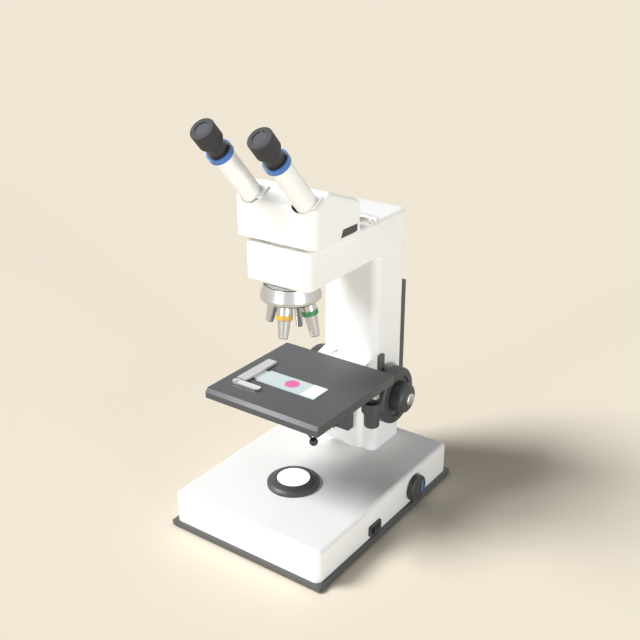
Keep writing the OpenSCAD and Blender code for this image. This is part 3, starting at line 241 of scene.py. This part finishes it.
def new_rod(name, axis, start, end, centre, radius, corners=64):
    turns = {"x": (0, math.pi / 2, 0), "y": (math.pi / 2, 0, 0), "z": (0, 0, 0)}
    place = Vector(centre)
    place["xyz".index(axis)] = (start + end) / 2
    bpy.ops.object.select_all(action="DESELECT")
    bpy.ops.mesh.primitive_cylinder_add(vertices=corners, radius=radius, depth=abs(end - start),
                                        location=place, rotation=turns[axis])
    rod = bpy.context.object
    rod.name = name
    bpy.ops.object.transform_apply(location=True, rotation=True, scale=True)
    return rod


white_enamel = finish_of("white satin enamel", (0.93, 0.93, 0.915), 0.36, coat=0.15)
cut_over = 0.01
housing_wall = 0.003
housing_corner = 0.007
housing_rim = 0.0055
light_radius = 0.014
bush_radius = 0.0045
jack_radius = 0.005
switch_lip = 0.0015
housing_low, housing_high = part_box("base_housing")
housing = new_block("base_shell", housing_low, housing_high)
round_edges(housing, housing_corner, 10, upright)
round_edges(housing, housing_rim, 8, at_height(housing_high.z))
hollow = new_block("hollow",
                   (housing_low.x + housing_wall, housing_low.y + housing_wall, housing_low.z - cut_over),
                   [side - housing_wall for side in housing_high])
round_edges(hollow, housing_corner - housing_wall, 6, upright)
knob_low, knob_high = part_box("dimmer_knob")
bush_middle = (knob_low + knob_high) / 2
jack_low, jack_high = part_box("power_jack")
jack_middle = (jack_low + jack_high) / 2
switch_low, switch_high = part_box("switch_body")
cut(housing, hollow,
    new_rod("light_hole", "z", housing_high.z - cut_over, housing_high.z + cut_over, (0, 0, 0), light_radius),
    new_rod("bush_hole", "x", housing_high.x - cut_over, housing_high.x + cut_over, bush_middle,
            bush_radius, 32),
    new_block("switch_hole",
              (housing_high.x - cut_over, switch_low.y + switch_lip, switch_low.z + switch_lip),
              (housing_high.x + cut_over, switch_high.y - switch_lip, switch_high.z - switch_lip)),
    new_rod("jack_hole", "y", housing_high.y - cut_over, housing_high.y + cut_over, jack_middle,
            jack_radius, 32))
finish(housing, "frame", "base_housing", ["base_housing"], white_enamel)


# The column and the focus block are aluminium castings in the same enamel. The arm is cast with
# them: it narrows towards the column, and a cover under it closes the pocket behind the lenses.
def spread_corners(piece, wanted, factors, centre):
    pick_only(piece)
    bpy.ops.object.mode_set(mode="EDIT")
    bpy.ops.mesh.select_mode(type="VERT")
    bpy.ops.mesh.select_all(action="DESELECT")
    mesh = bmesh.from_edit_mesh(piece.data)
    for corner in mesh.verts:
        corner.select_set(wanted(corner.co))
    bmesh.update_edit_mesh(piece.data)
    bpy.ops.transform.resize(value=factors, center_override=centre)
    bpy.ops.object.mode_set(mode="OBJECT")


for casting in ("column", "arm_cover", "focus_block"):
    dress(casting, white_enamel)
arm_rear_half = 0.036
arm_corner = 0.009
arm_rim = 0.0045
cover_gap = 0.0003
arm_low, arm_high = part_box("arm")
column_low, column_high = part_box("column")
arm_rear = column_high.y
arm = new_block("arm_casting", arm_low, (arm_high.x, arm_rear, arm_high.z))
spread_corners(arm, lambda corner: corner.y > arm_rear - near, (arm_rear_half / arm_high.x, 1, 1),
               (0, arm_rear, arm_low.z))
bpy.ops.object.mode_set(mode="EDIT")
bpy.ops.mesh.select_all(action="SELECT")
bpy.ops.mesh.bisect(plane_co=(0, column_low.y, 0), plane_no=(0, 1, 0))
bpy.ops.object.mode_set(mode="OBJECT")
under_arm = at_height(arm_low.z)
round_edges(arm, arm_corner, 8, lambda a, b: upright(a, b) and abs(a.y - column_low.y) > near)
round_edges(arm, arm_rim, 6, at_height(arm_high.z))
round_edges(arm, arm_rim, 6, lambda a, b: under_arm(a, b) and max(a.y, b.y) < column_low.y + near
            and min(a.y, b.y) < column_low.y - near)
pocket_low, pocket_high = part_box("arm_cover")
cut(arm, new_block("cover_pocket",
                   (pocket_low.x - cover_gap, pocket_low.y - cover_gap, arm_low.z - cut_over),
                   (pocket_high.x + cover_gap, pocket_high.y + cover_gap, pocket_high.z)))
finish(arm, "frame", "arm", ["arm"], white_enamel)

# The lamp ring is a dark moulding round a frosted field lens. The lens has a faint painted glow,
# painted lamp light, since no lamp shines through it here. The lamp, its heat sink and its driver
# board are closed in the base under it.
dark_moulding = finish_of("dark moulding", (0.05, 0.052, 0.056), 0.45, grain=0.12)
# The frosted glass glows by painted emission, which stands in for the light of the lamp below it.
frosted_glass_painted_glow = finish_of("frosted glass", (0.92, 0.93, 0.92), 0.35, coat=0.3, painted_glow=0.6)
clear_glass = finish_of("clear glass", (0.86, 0.93, 0.93), 0.05)
clear_glass.node_tree.nodes["Principled BSDF"].inputs["Transmission Weight"].default_value = 0.9
board_green = finish_of("board green", (0.04, 0.22, 0.11), 0.5)
dress("lamp_ring", dark_moulding)
dress("field_lens", frosted_glass_painted_glow)
dress("collector_lens", clear_glass)
dress("lamp_module", bright_steel)
dress("driver_board", board_green)

# The controls on the right side are a smooth brightness knob with a blue pointer let into its
# face and a rocker switch in a dark bezel. The low-voltage inlet is at the back.
pointer_blue = finish_of("pointer blue", (0.075, 0.21, 0.52), 0.4)
rocker_black = finish_of("rocker black", (0.02, 0.02, 0.022), 0.35)
face_depth = 0.0004
pointer_start = bush_middle.y + 0.0048
pointer_end = pointer_start + 0.0044
pointer_half = 0.0068
knob = dress("dimmer_knob", dark_moulding, pointer_blue)
for face in knob.data.polygons:
    middle = face.center
    if (middle.x > knob_high.x - face_depth and pointer_start < middle.y < pointer_end
            and abs(middle.z - bush_middle.z) < pointer_half):
        face.material_index = 1
dress("switch_body", dark_moulding)
dress("switch_rocker", rocker_black)
dress("power_jack", rocker_black)

# The focus drive has smooth moulded knobs on two coaxial shafts. Each coarse knob has a dished
# outer face, and each fine knob ends in a turned silver cap.
turned_silver = finish_of("turned silver", (0.66, 0.67, 0.68), 0.24, metallic=1.0)
shaft_low, shaft_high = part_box("coarse_shaft")
focus_axis = (shaft_low + shaft_high) / 2
fine_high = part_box("fine_knobs")[1]
coarse_radius = 0.033
coarse_face = 0.058
coarse_back = 0.0445
face_round = 0.0032
back_round = 0.002
dish_depth = 0.0016
dish_radius = coarse_radius - 0.009
socket_end = coarse_face - 0.0055
hub_start = 0.0415
hub_radius = 0.009
coarse_bore = 0.005
fine_bore = 0.003
fine_radius = 0.0175
fine_start = coarse_face - 0.0008
fine_round = 0.0055
cap_radius = 0.0072
cap_length = 0.0036
cap_round = 0.0016
cap_seat = 0.0005
fine_end = fine_high.x - cap_length


def rim_at(x, radius):
    def on_rim(v):
        from_axis = math.hypot(v.y - focus_axis.y, v.z - focus_axis.z)
        return abs(v.x - x) < same_place and abs(from_axis - radius) < same_place
    return lambda a, b: on_rim(a) and on_rim(b)


def join(pieces, name):
    bpy.ops.object.select_all(action="DESELECT")
    for piece in pieces:
        piece.select_set(True)
    bpy.context.view_layer.objects.active = pieces[0]
    bpy.ops.object.join()
    pieces[0].name = name
    return pieces[0]


coarse_parts = []
fine_parts = []
cap_parts = []
for side in (-1, 1):
    bore_start = side * (coarse_back - cut_over)
    bore_end = side * (coarse_face + cut_over)
    disc = new_rod("coarse_disc", "x", side * coarse_back, side * coarse_face, focus_axis, coarse_radius, 96)
    cut(disc, new_rod("dish", "x", side * (coarse_face - dish_depth), bore_end, focus_axis, dish_radius, 96),
        new_rod("shaft_hole", "x", bore_start, side * socket_end, focus_axis, coarse_bore, 48),
        new_rod("fine_shaft_hole", "x", bore_start, bore_end, focus_axis, fine_bore, 32))
    round_edges(disc, face_round, 6, rim_at(side * coarse_face, coarse_radius))
    round_edges(disc, back_round, 4, rim_at(side * coarse_back, coarse_radius))
    hub = new_rod("coarse_hub", "x", side * hub_start, side * coarse_back, focus_axis, hub_radius, 48)
    cut(hub, new_rod("hub_hole", "x", bore_start, bore_end, focus_axis, coarse_bore, 48))
    coarse_parts += [disc, hub]
    grip = new_rod("fine_disc", "x", side * fine_start, side * fine_end, focus_axis, fine_radius, 96)
    round_edges(grip, fine_round, 8, rim_at(side * fine_end, fine_radius))
    fine_parts.append(grip)
    cap = new_rod("fine_cap", "x", side * (fine_end - cap_seat), side * fine_high.x, focus_axis, cap_radius)
    round_edges(cap, cap_round, 5, rim_at(side * fine_high.x, cap_radius))
    cap_parts.append(cap)
finish(join(coarse_parts, "coarse_grips"), "coarse", "coarse_knobs", ["coarse_knobs"], dark_moulding)
finish(join(fine_parts, "fine_grips"), "fine", "fine_knobs", ["fine_knobs"], dark_moulding)
finish(join(cap_parts, "fine_caps"), "fine", "fine_knobs", [], turned_silver)
dress("coarse_shaft", bright_steel)
dress("fine_shaft", bright_steel)

# The stop lever turns on the focus bearing and limits how far the stage can be raised. It is a
# flat steel ring with an upright arm, powder-coated like the base plate.
lever_low, lever_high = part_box("stop_lever")
lever_top = 0.1655
ring_radius = 0.014
ring_bore = 0.00905
blade_front = focus_axis.y - 0.0105
blade_rear = focus_axis.y - 0.001
blade_foot = focus_axis.z + 0.0092
blade_round = 0.0015
ring = new_rod("stop_ring", "x", lever_low.x, lever_high.x, focus_axis, ring_radius)
cut(ring, new_rod("stop_hole", "x", lever_low.x - cut_over, lever_high.x + cut_over, focus_axis, ring_bore))
blade = new_block("stop_blade", (lever_low.x, blade_front, blade_foot),
                  (lever_high.x, blade_rear, lever_top))
blade_end = at_height(lever_top)
round_edges(blade, blade_round, 4, lambda a, b: blade_end(a, b) and abs(a.x - b.x) > near)
stop = join([ring, blade], "stop_arm")
finish(stop, "stop", "stop_lever", ["stop_lever"], charcoal_powder)

# The rear cover is a moulded lid over the service opening behind the focus drive. It is held by
# four screws sunk into its face.
cover_low, cover_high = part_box("rear_cover")
cover_half = 0.031
cover_rear = plate_high.y
cover_side_round = 0.003
cover_end_round = 0.006
sink_start = 0.1725
sink_radius = 0.0031
sink_side = 0.025
sink_heights = (0.108, 0.218)
cover = new_block("rear_lid", (-cover_half, cover_low.y, cover_low.z),
                  (cover_half, cover_rear, cover_high.z))
cover_foot = at_height(cover_low.z)
cover_top = at_height(cover_high.z)
round_edges(cover, cover_side_round, 5, lambda a, b: upright(a, b) and a.y > cover_rear - near)
round_edges(cover, cover_end_round, 6, lambda a, b: (cover_foot(a, b) or cover_top(a, b))
            and min(a.y, b.y) > cover_rear - cover_side_round - near and abs(a.x - b.x) > cover_half)
cut(cover, *(new_rod("screw_sink", "y", sink_start, cover_rear + cut_over, (x, 0, z), sink_radius, 32)
             for x in (-sink_side, sink_side) for z in sink_heights))
finish(cover, "frame", "rear_cover", ["rear_cover"], dark_moulding)
dress("m5_bolts", bright_steel)
dress("m3_screws", bright_steel)

# The lift slide is enamelled like the column. The bracket, the carrier and the cross plate on it
# are aluminium, anodised dark grey, with a steel rack and two dark moulded drive knobs.
dark_anodised = finish_of("dark anodised aluminium", (0.068, 0.071, 0.076), 0.42, grain=0.15)
for guide in ("stage_bracket", "stage_carrier", "y_plate"):
    dress(guide, dark_anodised)
for drive in ("y_knob", "x_knob"):
    dress(drive, dark_moulding)
dress("lift_slide", white_enamel)
dress("x_rack", bright_steel)

# The top plate of the stage is milled from solid aluminium and anodised. It has a sloped front
# edge and a light slot, and under it a rim and two dovetail rails that run on the cross plate.
stage_low, stage_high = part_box("stage_plate")
stage_rim = 0.003
stage_corner = 0.0015
front_slope = 0.0036
front_inset = 0.001
deck_low = stage_high.z - 0.0035
rail_middles = (-0.040, 0.035)
rail_half = 0.003
rail_depth = 0.0035
rail_root = 0.0005
rail_spread = 1.5
opening_inset = 0.010
slot_low = (-0.0305, -0.012, deck_low - near)
slot_high = (0.0155, 0.011, stage_high.z + near)
deck = new_block("stage_deck", stage_low, stage_high)
on_top = at_height(stage_high.z)
round_edges(deck, front_slope, 1, lambda a, b: on_top(a, b) and max(a.y, b.y) < stage_low.y + near)
round_edges(deck, stage_corner, 3, lambda a, b: abs(a.z - b.z) > near and abs(a.x - b.x) < same_place)
under = new_block("stage_hollow",
                  (stage_low.x + stage_rim, stage_low.y + stage_rim + front_inset, stage_low.z - cut_over),
                  (stage_high.x - stage_rim, stage_high.y - stage_rim, deck_low))
for rail_y in rail_middles:
    rail = new_block("stage_rail", (stage_low.x, rail_y - rail_half, deck_low - rail_depth),
                     (stage_high.x, rail_y + rail_half, deck_low + rail_root))
    spread_corners(rail, lambda corner: corner.z < deck_low - near, (1, rail_spread, 1),
                   (0, rail_y, deck_low))
    cut(under, rail)
cut(deck, under,
    new_block("rear_opening",
              (stage_low.x + opening_inset, stage_high.y - stage_rim - near, stage_low.z - cut_over),
              (stage_high.x - opening_inset, stage_high.y + near, deck_low)),
    new_block("light_slot", slot_low, slot_high))
finish(deck, "stage_x", "stage_plate", ["stage_plate"], dark_anodised)

# The specimen clip is a milled bar with a chromed finger. It holds a glass slide with a white
# label and a stained pink specimen.
milled_bar = finish_of("milled bar", (0.62, 0.63, 0.64), 0.42, metallic=0.5)
chrome = finish_of("chrome", (0.86, 0.86, 0.87), 0.12, metallic=1.0)
slide_glass = finish_of("slide glass", (0.58, 0.70, 0.70), 0.08, coat=0.5)
label_white = finish_of("label white", (0.94, 0.94, 0.94), 0.5)
stain_pink = finish_of("stain pink", (0.80, 0.13, 0.40), 0.35)
stain_half = 0.0085
dress("clip_bar", milled_bar)
dress("clip_finger", chrome)
dress("glass_slide", slide_glass)
marks = dress("slide_marks", label_white, stain_pink)
for face in marks.data.polygons:
    if abs(face.center.x) < stain_half:
        face.material_index = 1

# The condenser hangs under the stage in an anodised holder, moved by its own knob. Its aperture
# lever is steel and ends in a black ball.
ball_black = finish_of("ball black", (0.02, 0.02, 0.022), 0.25)
ball_start = 0.0575
for part in ("condenser_holder", "condenser_body", "condenser_knob"):
    dress(part, dark_anodised)
dress("condenser_lens", clear_glass)
lever = dress("iris_lever", bright_steel, ball_black)
for face in lever.data.polygons:
    if face.center.xy.length > ball_start:
        face.material_index = 1

# The revolving nosepiece is satin aluminium. Two of the long objectives have a coloured band
# each, yellow in front and green on the right, that names their power.
satin_aluminium = finish_of("satin aluminium", (0.60, 0.61, 0.62), 0.27, metallic=1.0)
band_yellow = finish_of("band yellow", (0.68, 0.40, 0.06), 0.4)
band_green = finish_of("band green", (0.04, 0.27, 0.09), 0.4)
between_bands = -0.006
for part in ("nosepiece_seat", "turret", "objectives_long", "objectives_short"):
    dress(part, satin_aluminium)
dress("objective_lenses", clear_glass)
bands = dress("objective_bands", band_yellow, band_green)
for face in bands.data.polygons:
    if face.center.y > between_bands:
        face.material_index = 1

# The head is an enamelled casting on a ring on the arm, held by a clamp block and its chromed
# thumb screw. A dark cover closes the port on its right side, and the prisms stand inside.
dress("head_housing", white_enamel)
dress("port_cover", dark_moulding)
dress("head_mount", satin_aluminium)
dress("clamp_screw", chrome)
dress("prisms", clear_glass)

# The eyepiece tubes are white, each with a blue diopter ring and a black eyepiece whose soft
# eyecup stands round the dark eye lens. A second lens closes the eyepiece below.
ring_blue = finish_of("ring blue", (0.065, 0.185, 0.50), 0.35)
eyepiece_black = finish_of("eyepiece black", (0.03, 0.03, 0.032), 0.4)
cup_rubber = finish_of("cup rubber", (0.03, 0.03, 0.032), 0.7)
eye_glass = finish_of("eye glass", (0.05, 0.055, 0.065), 0.06, coat=1.0)
tube_lean = math.radians(42)
tube_axis = Vector((0, -math.sin(tube_lean), math.cos(tube_lean)))
lens_radius = 0.0076
lower_lens = -0.010
upper_lens = 0.020
cup_start = 0.0125
for side in ("left", "right"):
    dress("tube_" + side, white_enamel)
    dress("ring_" + side, ring_blue)
    eyepiece = dress("eyepiece_" + side, eyepiece_black, cup_rubber, eye_glass)
    ring_low, ring_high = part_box("ring_" + side)
    ring_middle = (ring_low + ring_high) / 2
    for face in eyepiece.data.polygons:
        from_ring = face.center - ring_middle
        along = from_ring.dot(tube_axis)
        aside = (from_ring - tube_axis * along).length
        if aside < lens_radius and (along > upper_lens or along < lower_lens):
            face.material_index = 2
        elif along > cup_start:
            face.material_index = 1
